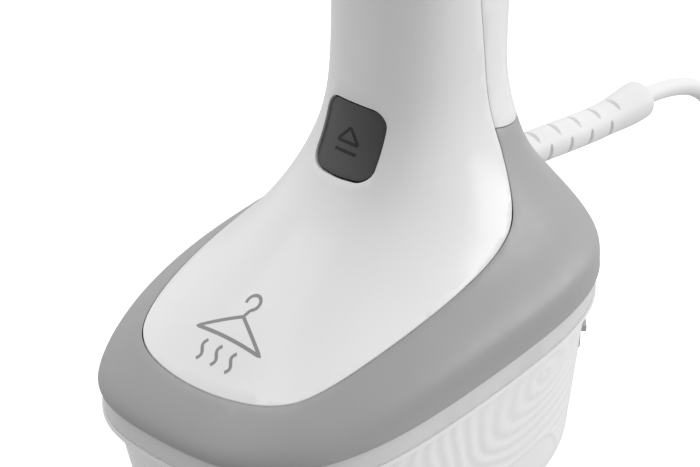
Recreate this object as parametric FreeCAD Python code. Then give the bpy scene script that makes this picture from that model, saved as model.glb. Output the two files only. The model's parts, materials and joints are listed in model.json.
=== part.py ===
"""Handheld garment steamer: a water tank below, an upright hollow handle, and a steam head on top.

Frame: millimetres, +Z up, origin on the floor under the middle of the tank.
The steam plate, the trigger and the release button face -Y, and the mains lead leaves towards +Y.
"""

import FreeCAD, Part
import math
import os
from FreeCAD import Vector

# ---------------------------------------------------------------- driving dimensions
SEAM_Z = 70.0            # lower edge of the grey shell, where the tank comes off
HANDLE_Y = 27.4          # the handle's axis, behind the middle of the base
WALL = 2.2               # moulded wall thickness
PART_GAP = 0.35          # visible joint line between two mouldings
LIFT_GAP = 0.2           # between the tank's rim and the shell above it
HAND_FIT = 0.3           # clearance round a sliding part
BODY_HEIGHT = 200.0      # more than the handle's height above the seam
HALF_SPAN = 60.0         # more than half of the body's width, for tools that cut right through

RIM_HEIGHT = 7.5         # white rim of the tank lid
RIM_INSET = 1.2
RIM_BEAD = 1.1           # height of the bead at the rim's top, and how far it stands out
RIM_PROUD = 0.6
TANK_INSET = 2.0
TANK_LEAN = (0.10, 0.22, 0.06)   # the side, front and rear walls come in this much per millimetre down
TANK_LIP = 1.2           # height of the bead round the tank's mouth
TANK_FOOT_R = 14.0       # rounding between the tank's wall and its floor
TANK_WALL = 2.0
FILL_PLUG_PLACE = (32.0, 62.9, 48.0)
FILL_PLUG_TURN = 40.0         # degrees from +X that the fill plug faces
FILL_PLUG_R = 5.0
FILL_PLUG_SEAT = 1.5
NECK_R = 9.7             # the filler neck is a ring of its own, set into the tank's wall
NECK_GAP = 0.1

# Sections of the body above the seam: height, half-width, reach to the front, reach to the rear
# (both from the handle's axis), place of the widest point, and roundness of the oval.
STATIONS = [
    (0.0, 47.7, 105.0, 50.3, -22.0, 3.05),
    (6.0, 47.7, 101.2, 50.2, -19.0, 2.92),
    (12.0, 46.4, 91.6, 48.8, -16.0, 2.66),
    (20.0, 38.3, 79.0, 45.3, -11.0, 2.35),
    (31.0, 30.8, 59.8, 38.2, -5.0, 2.05),
    (43.0, 25.6, 40.8, 32.1, -3.7, 2.10),
    (58.0, 21.4, 30.4, 27.6, -2.0, 2.20),
    (78.0, 20.9, 26.4, 25.2, 0.0, 2.25),
    (105.0, 21.2, 24.8, 24.2, 0.0, 2.30),
    (130.0, 21.6, 24.6, 24.0, 0.0, 2.30),
    (150.0, 23.2, 27.6, 24.4, 0.0, 2.30),
    (163.0, 27.0, 35.0, 23.6, 0.0, 2.30),
    (176.0, 30.0, 42.0, 20.0, 0.0, 2.30),
]

# Half of the front cover's outline seen from above (x, y from the handle's axis), a rounded tongue
# that ends at the handle's sides, and the seam that goes on up the handle (height, y).
TONGUE = [
    (0.0, -92.9), (11.0, -91.8), (20.0, -88.7), (26.3, -83.6), (30.4, -75.5), (33.4, -62.5),
    (35.2, -46.0), (35.6, -29.0), (34.8, -14.0), (33.3, -4.6), (30.4, 2.8), (25.4, 6.1),
]
SIDE_SEAM = [
    (-5.0, 12.0), (20.0, 10.5), (45.0, 6.4), (52.0, 5.3), (64.0, 3.1), (78.0, 0.8), (94.0, -1.6),
    (112.0, -2.7), (140.0, -2.9), (190.0, -2.9),
]
COLLAR_LINE = [(-6.0, 57.5), (6.6, 52.0), (20.0, 47.6), (34.0, 45.2), (60.0, 44.0)]

# Release button on the neck of the handle
BUTTON_TILT = 25.4       # degrees its face leans back
BUTTON_HALF_W = 9.6
BUTTON_MID = 56.25       # height above the seam where its post stands
BUTTON_UP = 11.8         # reach of its outline above and below the post, along its face
BUTTON_DOWN = 8.2
BUTTON_TOP_R = 3.8
BUTTON_LOW_R = 4.6
BUTTON_BULGE = 0.9
BUTTON_TIP_R = 30.0
BUTTON_SUNK = 0.7
BUTTON_GAP = 0.5
BUTTON_DEPTH = 5.0
BUTTON_REACH = 33.5      # the post's place before the handle's axis
POST_R = 2.5
POST_LENGTH = 6.8
GUIDE_HALF_W = 22.0
GUIDE_HEIGHT = 16.0
GUIDE_THICK = 1.2
GUIDE_BACK = 10.1        # how far behind the button's place the guide stands

# Tank latch and base frame
LATCH_Y = 5.0
LATCH_TOP = 124.0
CLAMP_SCREW_X = (-8.5, 8.5)
FRAME_LOW = 71.0
FRAME_TOP = 74.0
SPIGOT_R = 5.0
SPIGOT_LOW = 57.2

# Trigger
TRIGGER_LOW = 182.0
TRIGGER_HIGH = 219.0
TRIGGER_HALF_W = 8.5
TRIGGER_PROUD = 3.6
TRIGGER_GAP = 1.2
PIVOT_Y = 12.0
PIVOT_Z = 214.0
PIN_R = 1.5
RUNNING = 0.06
SWITCH_Y = 12.5
SWITCH_REACH = 2.6
LOBE_Z = 190.0
BOARD_Y = 34.0
LOOM_X = -10.0
LOOM_Y = 43.0
LOOM_TOP = 248.0
LOOM_BEND_R = 10.0
LOOM_R = 1.8

# Rear of the handle
SCREW_Z = (150.0, 214.0)   # case screws through the rear handle cover
POWER_Z = 198.0
POWER_R = 6.0
LENS_Z = 182.0
LENS_R = 2.5
SCREW_SEAT_Y = 46.0

# Steam head
HEAD_Z = 257.0
FACE_Y = -20.0
BEZEL_DEPTH = 6.0
HEAD_SECTIONS = [        # y, half-width, half-height, height of its middle
    (FACE_Y, 40.0, 26.0, HEAD_Z),
    (-8.0, 41.5, 27.3, HEAD_Z),
    (8.0, 39.5, 27.5, HEAD_Z),
    (24.0, 34.8, 26.8, HEAD_Z - 0.3),
    (38.0, 28.4, 24.8, HEAD_Z - 1.2),
    (48.0, 21.8, 21.2, HEAD_Z - 2.6),
    (54.5, 14.6, 15.4, HEAD_Z - 4.0),
    (58.0, 7.0, 7.6, HEAD_Z - 5.0),
]
HEAD_ROUND = 2.35
PLATE_A = 35.0
PLATE_B = 21.0
PLATE_T = 3.0
CHAMBER_A = 33.5
CHAMBER_B = 19.5
BLOCK_A = 31.5
BLOCK_B = 17.5
CAVITY_A = 27.0
CAVITY_B = 13.0
COVER_Y = -13.0
SEAL_Y = -10.5
BLOCK_Y = -9.0
BLOCK_REAR = 9.0
ELEMENT_R = 3.2
ELEMENT_HALF = 11.0      # the heating element's two runs lie this far above and below the middle
INLET_Z = HEAD_Z
PUMP_Y = 26.0
PUMP_LOW = 84.0
PUMP_LENGTH = 44.0
PLUNGER_R = 3.5
PLUNGER_LOW = 98.5
PLUNGER_LENGTH = 14.0
HOSE_R = 4.4
HOSE_BORE_R = 3.0
HOSE_BEND_R = 10.0

# Mains lead
CORD_R = 2.75
RELIEF_R = 6.0
CORD_EXIT_Z = 87.5
CORD_ROUTE = [           # middle line of the lead that is not coiled
    (0.0, 135.4, 79.3),
    (0.0, 156.0, 76.3),
    (0.0, 176.0, 63.5),
    (1.5, 189.0, 39.5),
    (3.0, 203.0, 18.0),
    (2.0, 223.0, 4.3),
    (0.0, 246.0, 3.65),
]
COIL_CENTRE = (41.25, 250.0)
COIL_MIDDLE_R = 33.0
COIL_ACROSS = 4          # turns side by side
COIL_LAYERS = 2          # turns on top of each other
COIL_LOW = 0.9
RELIEF_START_Y = 62.0
RELIEF_KNEE_Y = 78.0
RELIEF_SLOTS = 5
RELIEF_FIRST_SLOT = 3.0
RELIEF_PITCH = 7.6
RELIEF_SLOT = 1.7
RELIEF_COLLAR = 11.5
RELIEF_BEVEL = 1.5
CORD_END = [             # the lead's last run, from the coil's top turn to the plug
    (79.4, 234.2, 9.15),
    (71.5, 213.5, 17.5),
]
PLUG_AT = (71.5, 180.5)  # middle of the mains plug's face
PLUG_BODY_R = 17.5
PLUG_RIM = 9.0           # thickness of its round face
GRIP_LENGTH = 24.0
GRIP_TIP_R = 7.0
MAINS_PIN_R = 2.4
MAINS_PIN_L = 19.0
PIN_SPACING = 19.0

os.makedirs("parts", exist_ok=True)
X_AXIS = Vector(1, 0, 0)
Y_AXIS = Vector(0, 1, 0)
Z_AXIS = Vector(0, 0, 1)


# ---------------------------------------------------------------- helpers
def save(name, shape):
    shape.exportStep(f"parts/{name}.step")
    solids = len(shape.Solids)
    if not shape.isValid() or solids == 0:
        print("CHECK", name, "valid", shape.isValid(), "solids", solids)


def closed_curve(points):
    curve = Part.BSplineCurve()
    curve.interpolate(Points=points, PeriodicFlag=True)
    return Part.Wire(curve.toShape())


def power(value, exponent):
    return math.copysign(abs(value) ** exponent, value)


def body_section(z, half_w, front, rear, widest, roundness, count=36):
    """A horizontal oval whose front and rear halves have their own reach."""
    points = []
    for k in range(count):
        turn = 2 * math.pi * (k + 0.5) / count
        reach = front + widest if math.sin(turn) < 0 else rear - widest
        x = half_w * power(math.cos(turn), 2 / roundness)
        y = widest + reach * power(math.sin(turn), 2 / roundness)
        points.append(Vector(x, HANDLE_Y + y, z))
    return closed_curve(points)


def slope(index, column):
    low = STATIONS[max(index - 1, 0)]
    high = STATIONS[min(index + 1, len(STATIONS) - 1)]
    return (high[column] - low[column]) / (high[0] - low[0])


def body_loft(inset, low=0, high=None):
    """The whole outside of base and handle, moved inwards by inset along its own normal."""
    wires = []
    rows = list(enumerate(STATIONS))[low:high]
    for index, (z, half_w, front, rear, widest, roundness) in rows:
        moved = [
            reach - inset * math.sqrt(1 + slope(index, column) ** 2)
            for column, reach in ((1, half_w), (2, front), (3, rear))
        ]
        wires.append(body_section(SEAM_Z + z, *moved, widest, roundness))
    return Part.makeLoft(wires, True, False)


def seam_oval(z, inset, lean=(0.0, 0.0, 0.0)):
    """The outline at the seam, moved inwards, its side, front and rear also by lean per millimetre down."""
    _, half_w, front, rear, widest, roundness = STATIONS[0]
    side_in, front_in, rear_in = (inset + share * (SEAM_Z - z) for share in lean)
    return body_section(z, half_w - side_in, front - front_in, rear - rear_in, widest, roundness)


def slab(low_z, high_z, inset, lean=(0.0, 0.0, 0.0)):
    """A plate with the outline that seam_oval gives at its lower face."""
    face = Part.Face(seam_oval(low_z, inset, lean))
    return face.extrude(Vector(0, 0, high_z - low_z))


def face_oval(y, half_w, half_h, middle_z=HEAD_Z, roundness=HEAD_ROUND, count=32):
    """An upright oval facing the front."""
    points = []
    for k in range(count):
        turn = 2 * math.pi * (k + 0.5) / count
        x = half_w * power(math.cos(turn), 2 / roundness)
        z = middle_z + half_h * power(math.sin(turn), 2 / roundness)
        points.append(Vector(x, y, z))
    return closed_curve(points)


def face_slab(y, depth, half_w, half_h):
    return Part.Face(face_oval(y, half_w, half_h)).extrude(Vector(0, depth, 0))


def head_loft(inset):
    wires = []
    for y, half_w, half_h, middle in HEAD_SECTIONS:
        wires.append(face_oval(y, half_w - inset, half_h - inset, middle))
    return Part.makeLoft(wires, True, False)


def rounded_wire(corners, radii, lift):
    """A closed outline with arcs at its corners. lift turns (u, v) into a point in space."""
    edges = []
    starts = []
    ends = []
    count = len(corners)
    for k in range(count):
        before = corners[k - 1]
        here = corners[k]
        after = corners[(k + 1) % count]
        back = (before[0] - here[0], before[1] - here[1])
        ahead = (after[0] - here[0], after[1] - here[1])
        back_len = math.hypot(*back)
        ahead_len = math.hypot(*ahead)
        back = (back[0] / back_len, back[1] / back_len)
        ahead = (ahead[0] / ahead_len, ahead[1] / ahead_len)
        half = math.acos(back[0] * ahead[0] + back[1] * ahead[1]) / 2
        cut = radii[k] / math.tan(half)
        start = (here[0] + back[0] * cut, here[1] + back[1] * cut)
        end = (here[0] + ahead[0] * cut, here[1] + ahead[1] * cut)
        bisector = (back[0] + ahead[0], back[1] + ahead[1])
        scale = (radii[k] / math.sin(half) - radii[k]) / math.hypot(*bisector)
        middle = (here[0] + bisector[0] * scale, here[1] + bisector[1] * scale)
        edges.append(Part.Arc(lift(start), lift(middle), lift(end)).toShape())
        starts.append(start)
        ends.append(end)
    for k in range(count):
        run_start = lift(ends[k - 1])
        run_end = lift(starts[k])
        if run_start.distanceToPoint(run_end) > 1e-4:
            edges.append(Part.LineSegment(run_start, run_end).toShape())
    return Part.Wire(Part.__sortEdges__(edges))


def box(low, high):
    low = Vector(*low)
    size = Vector(*high) - low
    return Part.makeBox(size.x, size.y, size.z, low)


def cylinder(centre, radius, length, axis=Z_AXIS):
    return Part.makeCylinder(radius, length, Vector(*centre), axis)


def tube(centre, outer, inner, length, axis=Z_AXIS):
    return cylinder(centre, outer, length, axis).cut(cylinder(centre, inner, length, axis))


def pipe(edges, radius):
    """A round rod along a path of straight runs and arcs."""
    path = Part.Wire(edges)
    first = path.OrderedEdges[0]
    start = first.valueAt(first.FirstParameter)
    along = first.tangentAt(first.FirstParameter)
    ring = Part.Wire(Part.makeCircle(radius, start, along))
    return path.makePipeShell([ring], True, False)


def spring(centre, radius, wire_r, length, turns, axis=Z_AXIS):
    """An open compression spring with its first end at centre."""
    pitch = (length - 2 * wire_r) / turns
    helix = Part.makeHelix(pitch, pitch * turns, radius)
    start = helix.Edges[0].valueAt(helix.Edges[0].FirstParameter)
    ring = Part.Wire(Part.makeCircle(wire_r, start, Y_AXIS))
    coil = Part.Wire(helix).makePipeShell([ring], True, True)
    coil.translate(Vector(0, 0, wire_r))
    coil.Placement = FreeCAD.Placement(
        Vector(*centre), FreeCAD.Rotation(Z_AXIS, axis)
    ).multiply(coil.Placement)
    return coil


def screw(head_at, axis, head_r, head_h, shank_r, shank_len):
    """A pan-head screw with a round drive recess: its head's outer face at head_at, its shank along axis."""
    start = Vector(*head_at)
    head = Part.makeCylinder(head_r, head_h, start, axis)
    recess = Part.makeCylinder(head_r * 0.45, head_h * 0.5, start, axis)
    shank = Part.makeCylinder(shank_r, shank_len, start + axis * head_h, axis)
    return head.cut(recess).fuse(shank)


# ---------------------------------------------------------------- regions that divide the mouldings
def tongue_outline(grow):
    """The tongue seen from above: one smooth curve round the front, and a straight rear edge."""
    points = [(-x, y) for x, y in reversed(TONGUE)] + TONGUE[1:]
    count = len(points)
    rearward = [(-1.0, 0.0)]
    for k in range(1, count - 1):
        along = (points[k + 1][0] - points[k - 1][0], points[k + 1][1] - points[k - 1][1])
        length = math.hypot(*along)
        rearward.append((along[0] / length, along[1] / length))
    rearward.append((-1.0, 0.0))
    grown = [
        Vector(x + grow * dy, HANDLE_Y + y - grow * dx, SEAM_Z)
        for (x, y), (dx, dy) in zip(points, rearward)
    ]
    curve = Part.BSplineCurve()
    curve.interpolate(Points=grown)
    return Part.Wire([curve.toShape(), Part.LineSegment(grown[-1], grown[0]).toShape()])


def side_curve_prism(curve_points, corners):
    """A prism across the whole width: one side of its outline is a smooth curve, the rest is straight."""
    points = [Vector(-HALF_SPAN, y, z) for y, z in curve_points]
    curve = Part.BSplineCurve()
    curve.interpolate(Points=points)
    ring = [points[-1]] + [Vector(-HALF_SPAN, y, z) for y, z in corners] + [points[0]]
    runs = [Part.LineSegment(a, b).toShape() for a, b in zip(ring, ring[1:])]
    return Part.Face(Part.Wire([curve.toShape()] + runs)).extrude(Vector(2 * HALF_SPAN, 0, 0))


def front_region(grow):
    """What belongs to the front cover: the tongue's outline and everything before the side seam."""
    prism = Part.Face(tongue_outline(grow)).extrude(Vector(0, 0, SIDE_SEAM[-1][0]))
    seam = [(HANDLE_Y + y + grow, SEAM_Z + z) for z, y in SIDE_SEAM]
    reach = HANDLE_Y + TONGUE[0][1] - 10.0
    return prism.common(side_curve_prism(seam, [(reach, seam[-1][1]), (reach, seam[0][1])]))


def above_collar(raise_by):
    """The space above the line where the rear handle cover meets the grey shell."""
    line = [(HANDLE_Y + y, SEAM_Z + z + raise_by) for y, z in COLLAR_LINE]
    top_z = SEAM_Z + BODY_HEIGHT
    return side_curve_prism(line, [(line[-1][0], top_z), (line[0][0], top_z)])


def button_axes():
    lean = math.radians(BUTTON_TILT)
    outward = Vector(0, -math.cos(lean), math.sin(lean))
    up = Vector(0, math.sin(lean), math.cos(lean))
    return outward, up


def button_outline(grow, pushed_out):
    """The release button's shield outline, in the plane that its face leans in."""
    outward, up = button_axes()
    centre = button_centre() + outward * pushed_out
    w = BUTTON_HALF_W + grow
    top = BUTTON_UP + grow
    low = -BUTTON_DOWN - grow
    corners = [(-w, top), (w, top), (w, low + BUTTON_BULGE), (0, low), (-w, low + BUTTON_BULGE)]
    radii = [BUTTON_TOP_R + grow, BUTTON_TOP_R + grow, BUTTON_LOW_R + grow, BUTTON_TIP_R, BUTTON_LOW_R + grow]
    return rounded_wire(corners, radii, lambda p: centre + X_AXIS * p[0] + up * p[1])


def button_prism(grow, depth_in, depth_out):
    outward, _ = button_axes()
    face = Part.Face(button_outline(grow, depth_out))
    return face.extrude(outward * -(depth_in + depth_out))


def trigger_prism(grow, y_low, y_high):
    w = TRIGGER_HALF_W + grow
    low = TRIGGER_LOW - grow
    high = TRIGGER_HIGH + grow
    corners = [(-w, low), (w, low), (w, high), (-w, high)]
    outline = rounded_wire(corners, [5.0 + grow] * 4, lambda p: Vector(p[0], y_low, p[1]))
    return Part.Face(outline).extrude(Vector(0, y_high - y_low, 0))


# ---------------------------------------------------------------- mouldings of base and handle
OUTER = body_loft(0.0)
INNER = body_loft(WALL)
HEAD_OUTER = head_loft(0.0)
HEAD_INNER = head_loft(WALL)
SHELL = OUTER.cut(INNER).cut(head_loft(-PART_GAP))


def make_front_cover():
    cover = SHELL.common(front_region(0.0))
    cover = cover.cut(button_prism(BUTTON_GAP, 14.0, 20.0))
    return cover.cut(trigger_prism(TRIGGER_GAP, -20.0, HANDLE_Y))


def make_rear_pieces():
    rest = SHELL.cut(front_region(PART_GAP))
    grey = rest.cut(above_collar(0.0))
    grey = grey.cut(cylinder((0, 60.0, CORD_EXIT_Z), RELIEF_R + 0.2, 40.0, Y_AXIS))
    rear = rest.common(above_collar(PART_GAP))
    for z in SCREW_Z:
        boss = cylinder((0, 40.2, z), 4.0, 20.0, Y_AXIS).common(OUTER)
        rear = rear.fuse(boss).cut(cylinder((0, HANDLE_Y, z), 1.6, 40.0, Y_AXIS))
        rear = rear.cut(cylinder((0, SCREW_SEAT_Y, z), 3.0, 20.0, Y_AXIS))
    rear = rear.cut(cylinder((0, HANDLE_Y, POWER_Z), POWER_R + HAND_FIT, 40.0, Y_AXIS))
    rear = rear.cut(cylinder((0, HANDLE_Y, LENS_Z), LENS_R, 40.0, Y_AXIS))
    return grey, rear


def make_release_button():
    """A shield that follows the neck's surface, sunk a little, with a spring post behind it."""
    outward, _ = button_axes()
    skin = body_loft(BUTTON_SUNK)
    button = button_prism(0.0, BUTTON_DEPTH, 20.0).common(skin)
    base = button_centre() - outward * (BUTTON_DEPTH - 1.0)
    post = Part.makeCylinder(POST_R, POST_LENGTH, base, outward * -1)
    return button.fuse(post)


def button_centre():
    return Vector(0, HANDLE_Y - BUTTON_REACH, SEAM_Z + BUTTON_MID)


def make_button_guide():
    """A bridge across the neck that guides the button's post."""
    outward, up = button_axes()
    low = button_centre() - outward * GUIDE_BACK - up * GUIDE_HEIGHT / 2 - X_AXIS * GUIDE_HALF_W
    high = low + up * GUIDE_HEIGHT
    corners = [low, high, high + outward * GUIDE_THICK, low + outward * GUIDE_THICK]
    outline = Part.makePolygon(corners + corners[:1])
    plate = Part.Face(outline).extrude(X_AXIS * 2 * GUIDE_HALF_W).common(INNER)
    hole_start = button_centre() - outward * 6.0
    return plate.cut(Part.makeCylinder(POST_R + 0.4, 6.0, hole_start, outward * -1))


def make_button_spring():
    outward, _ = button_axes()
    start = button_centre() - outward * BUTTON_DEPTH
    return spring(start, 3.4, 0.5, 3.85, 2.5, outward * -1)


# ---------------------------------------------------------------- water tank
def make_tank():
    """An open cup whose wall leans in towards its rounded foot, and the filler neck in its flank."""
    top = SEAM_Z - RIM_HEIGHT - 0.1

    def loft(shrink, low):
        wires = []
        radius = TANK_FOOT_R - shrink
        for degrees in range(0, 90, 15):
            turn = math.radians(degrees)
            z = low + radius * (1 - math.cos(turn))
            inward = radius * (1 - math.sin(turn))
            wires.append(seam_oval(z, TANK_INSET + shrink + inward, TANK_LEAN))
        end = top if shrink == 0 else top + 1.0
        steps = 9
        for k in range(steps + 1):
            z = low + radius + (end - low - radius) * k / steps
            wires.append(seam_oval(z, TANK_INSET + shrink, TANK_LEAN))
        return Part.makeLoft(wires, True, False)

    outside = loft(0.0, 0.0)
    place, outward = fill_plug_frame()
    boss = Part.makeCylinder(FILL_PLUG_R + 4.5, 4.0, place - outward * 4.0, outward)
    boss = boss.common(outside)
    lip = slab(top - TANK_LIP, top, RIM_INSET - 0.5)
    tank = outside.fuse(lip).cut(loft(TANK_WALL, TANK_WALL)).fuse(boss)
    tank = tank.cut(Part.makeCylinder(FILL_PLUG_R + 2.7, 10.0, place - outward * FILL_PLUG_SEAT, outward))
    start = place - outward * 10.0
    tank = tank.cut(Part.makeCylinder(FILL_PLUG_R, 20.0, start, outward))
    neck = tank.common(Part.makeCylinder(NECK_R, 20.0, start, outward))
    return tank.cut(Part.makeCylinder(NECK_R + NECK_GAP, 20.0, start, outward)), neck


def fill_plug_frame():
    """Place and outward direction of the fill plug, on the tank's right rear flank."""
    turn = math.radians(FILL_PLUG_TURN)
    outward = Vector(math.cos(turn), math.sin(turn), 0)
    return Vector(*FILL_PLUG_PLACE), outward


def make_fill_plug():
    """A rubber stopper with a flange in the tank's recess and a pull tab."""
    place, outward = fill_plug_frame()
    seat = place - outward * FILL_PLUG_SEAT
    stopper = Part.makeCylinder(FILL_PLUG_R - 0.1, 5.0, seat - outward * 4.5, outward)
    flange = Part.makeCylinder(FILL_PLUG_R + 2.2, 1.4, seat, outward)
    side = Vector(-outward.y, outward.x, 0)
    low = seat + outward * 1.2 - side * 3.0 - Z_AXIS * 1.0
    corners = [low, low + side * 6.0, low + side * 6.0 + outward * 2.2, low + outward * 2.2]
    tab = Part.Face(Part.makePolygon(corners + corners[:1])).extrude(Z_AXIS * 2.0)
    return stopper.fuse([flange, tab])


def make_tank_lid():
    """The white rim that shows below the seam, and the plate that closes the tank."""
    rim_low = SEAM_Z - RIM_HEIGHT
    rim_top = SEAM_Z - LIFT_GAP
    bead_low = rim_top - RIM_BEAD
    chamfer_low = rim_top - RIM_PROUD
    bead = slab(bead_low, chamfer_low, RIM_INSET - RIM_PROUD)
    chamfer_rings = [seam_oval(chamfer_low, RIM_INSET - RIM_PROUD), seam_oval(rim_top, RIM_INSET)]
    chamfer = Part.makeLoft(chamfer_rings, True, True)
    rim = slab(rim_low, rim_top, RIM_INSET).fuse([bead, chamfer])
    rim = rim.cut(slab(rim_low - 1, rim_top + 1, RIM_INSET + 3.0))
    plate = slab(rim_low, rim_low + 2.0, RIM_INSET + 2.9)
    skirt_out = TANK_INSET + TANK_WALL + 0.9
    skirt = slab(rim_low - 4.0, rim_low, skirt_out, TANK_LEAN)
    skirt = skirt.cut(slab(rim_low - 5.0, rim_low + 1, skirt_out + 1.6, TANK_LEAN))
    well = cylinder((0, PUMP_Y, rim_low - 8.0), 9.0, 8.5)
    pocket = box((-7.5, LATCH_Y - 4.0, rim_low - 6.0), (7.5, LATCH_Y + 7.0, rim_low + 0.5))
    lid = rim.fuse([plate, skirt, well, pocket])
    lid = lid.cut(cylinder((0, PUMP_Y, rim_low - 6.0), 7.2, 20.0))
    lid = lid.cut(cylinder((0, PUMP_Y, rim_low - 9.0), 2.6, 20.0))
    return lid.cut(box((-6.0, LATCH_Y - 2.5, rim_low - 4.5), (6.0, LATCH_Y + 5.5, SEAM_Z)))


def make_base_frame():
    """Floor plate of the body, with the pump's cradle, a latch slot and a hole for the spigot."""
    plate = slab(FRAME_LOW, FRAME_TOP, WALL * 1.1 + 2.0)
    lip = slab(FRAME_LOW, FRAME_TOP + 5.0, WALL * 1.1 + 2.0)
    lip = lip.cut(slab(FRAME_LOW - 1, FRAME_TOP + 6.0, WALL * 1.1 + 3.8))
    lip = lip.common(INNER)
    frame = plate.common(INNER).fuse(lip)
    cradle = box((-16, PUMP_Y - 16, FRAME_TOP), (16, PUMP_Y + 16, FRAME_TOP + 4.0))
    cradle = cradle.cut(box((-13, PUMP_Y - 13, FRAME_TOP - 1), (13, PUMP_Y + 13, FRAME_TOP + 5.0)))
    frame = frame.fuse(cradle)
    frame = frame.cut(cylinder((0, PUMP_Y, FRAME_LOW - 1), SPIGOT_R, 10.0))
    frame = frame.cut(box((-6.4, LATCH_Y - 2.6, FRAME_LOW - 1), (6.4, LATCH_Y + 6.0, FRAME_TOP + 6)))
    spring_post = box((-4.0, 12.5, FRAME_LOW), (4.0, 14.0, 90.0))
    clamp_tower = box((-12.0, 48.0, FRAME_LOW), (12.0, 54.0, CORD_EXIT_Z))
    block_tower = box((-9.0, 37.0, FRAME_LOW), (9.0, 46.0, 84.0))
    frame = frame.fuse([spring_post, clamp_tower, block_tower])
    frame = frame.cut(cylinder((0, 40, CORD_EXIT_Z), CORD_R, 30.0, Y_AXIS))
    for x in CLAMP_SCREW_X:
        frame = frame.cut(cylinder((x, 51.0, CORD_EXIT_Z - 6.0), 1.2, 20.0))
    return frame


def make_latch():
    """An upright bar behind the release button, whose toe sits in the tank lid's pocket."""
    rim_low = SEAM_Z - RIM_HEIGHT
    bar = box((-5.0, LATCH_Y, rim_low - 3.5), (5.0, LATCH_Y + 2.5, LATCH_TOP))
    toe = box((-5.0, LATCH_Y - 1.8, rim_low - 3.5), (5.0, LATCH_Y + 0.5, rim_low - 0.5))
    return bar.fuse(toe)


def make_inlet_spigot():
    """The stepped pipe under the pump that plugs into the tank's seal."""
    spigot = cylinder((0, PUMP_Y, SPIGOT_LOW), SPIGOT_R, FRAME_TOP - SPIGOT_LOW)
    flange = cylinder((0, PUMP_Y, FRAME_TOP), 6.2, 1.0)
    nipple = cylinder((0, PUMP_Y, FRAME_TOP), 3.0, 3.6)
    return spigot.fuse([flange, nipple]).cut(cylinder((0, PUMP_Y, SPIGOT_LOW - 1), 1.5, 30.0))


# ---------------------------------------------------------------- pump and hoses
def make_pump():
    body = cylinder((0, PUMP_Y, PUMP_LOW), 9.0, PUMP_LENGTH)
    body = body.fuse(cylinder((0, PUMP_Y, PUMP_LOW - 6.0), 3.0, 6.5))
    body = body.fuse(cylinder((0, PUMP_Y, PUMP_LOW + PUMP_LENGTH - 0.5), 3.0, 7.0))
    body = body.cut(cylinder((0, PUMP_Y, PUMP_LOW - 7.0), 1.2, PUMP_LENGTH + 20.0))
    return body.cut(cylinder((0, PUMP_Y, PUMP_LOW + 4.0), PLUNGER_R + RUNNING, PUMP_LENGTH - 8.0))


def make_pump_bracket():
    """A steel yoke round the coil."""
    low = PUMP_LOW + 9.0
    high = PUMP_LOW + 33.0
    outer = box((-14.6, PUMP_Y - 8, low), (14.6, PUMP_Y + 8, high))
    outer = outer.cut(box((-13.4, PUMP_Y - 9, low + 1.2), (13.4, PUMP_Y + 9, high - 1.2)))
    return outer.cut(cylinder((0, PUMP_Y, low - 1), 9.0, 40.0))


def make_pump_plunger():
    """The pump's hollow piston."""
    piston = cylinder((0, PUMP_Y, PLUNGER_LOW), PLUNGER_R, PLUNGER_LENGTH)
    return piston.cut(cylinder((0, PUMP_Y, PLUNGER_LOW - 0.5), 1.2, 20.0))


def make_suction_hose():
    return tube((0, PUMP_Y, FRAME_TOP + 2.0), HOSE_R, HOSE_BORE_R, PUMP_LOW - FRAME_TOP - 3.0)


def make_pressure_hose():
    low = PUMP_LOW + PUMP_LENGTH + 1.0
    high = INLET_Z - HOSE_BEND_R
    middle = HOSE_BEND_R * (1 - math.sqrt(0.5))
    rise = Part.LineSegment(Vector(0, PUMP_Y, low), Vector(0, PUMP_Y, high)).toShape()
    bend = Part.Arc(
        Vector(0, PUMP_Y, high),
        Vector(0, PUMP_Y - middle, high + HOSE_BEND_R * math.sqrt(0.5)),
        Vector(0, PUMP_Y - HOSE_BEND_R, INLET_Z),
    ).toShape()
    run = Part.LineSegment(
        Vector(0, PUMP_Y - HOSE_BEND_R, INLET_Z), Vector(0, BLOCK_REAR + 1.0, INLET_Z)
    ).toShape()
    return pipe([rise, bend, run], HOSE_R).cut(pipe([rise, bend, run], HOSE_BORE_R))


# ---------------------------------------------------------------- steam head
def make_head_housing():
    shell = HEAD_OUTER.cut(HEAD_INNER)
    front = box((-60, FACE_Y - 5, 200), (60, FACE_Y + BEZEL_DEPTH + 0.1, 300))
    return shell.cut(front).cut(INNER)


def make_bezel():
    """The ring round the steam plate that closes the front of the head."""
    ring = HEAD_OUTER.common(box((-60, FACE_Y - 5, 200), (60, FACE_Y + BEZEL_DEPTH, 300)))
    ring = ring.cut(face_slab(FACE_Y - 5, 3.8 + PLATE_T, PLATE_A + 0.4, PLATE_B + 0.4))
    return ring.cut(face_slab(FACE_Y - 5, 30, CHAMBER_A + 0.3, CHAMBER_B + 0.3))


def steam_hole_places():
    places = [(0.0, 0.0)]
    for count, half_w, half_h in ((6, 12.0, 8.0), (12, 24.0, 13.5)):
        for k in range(count):
            turn = 2 * math.pi * k / count
            places.append((half_w * math.cos(turn), half_h * math.sin(turn)))
    return places


def make_steam_plate():
    plate = face_slab(FACE_Y - 1.2, PLATE_T, PLATE_A, PLATE_B)
    for x, z in steam_hole_places():
        plate = plate.cut(cylinder((x, FACE_Y - 3, HEAD_Z + z), 1.4, 10.0, Y_AXIS))
    return plate


def make_plate_gasket():
    start = FACE_Y - 1.2 + PLATE_T
    ring = face_slab(start, COVER_Y - start, CHAMBER_A, CHAMBER_B)
    return ring.cut(face_slab(start - 1, 20, CHAMBER_A - 1.8, CHAMBER_B - 1.8))


def head_screw_places():
    reach = (BLOCK_A + CAVITY_A) / 2
    rise = (BLOCK_B + CAVITY_B) / 2
    return [(reach, 0.0), (-reach, 0.0), (0.0, rise), (0.0, -rise)]


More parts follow.
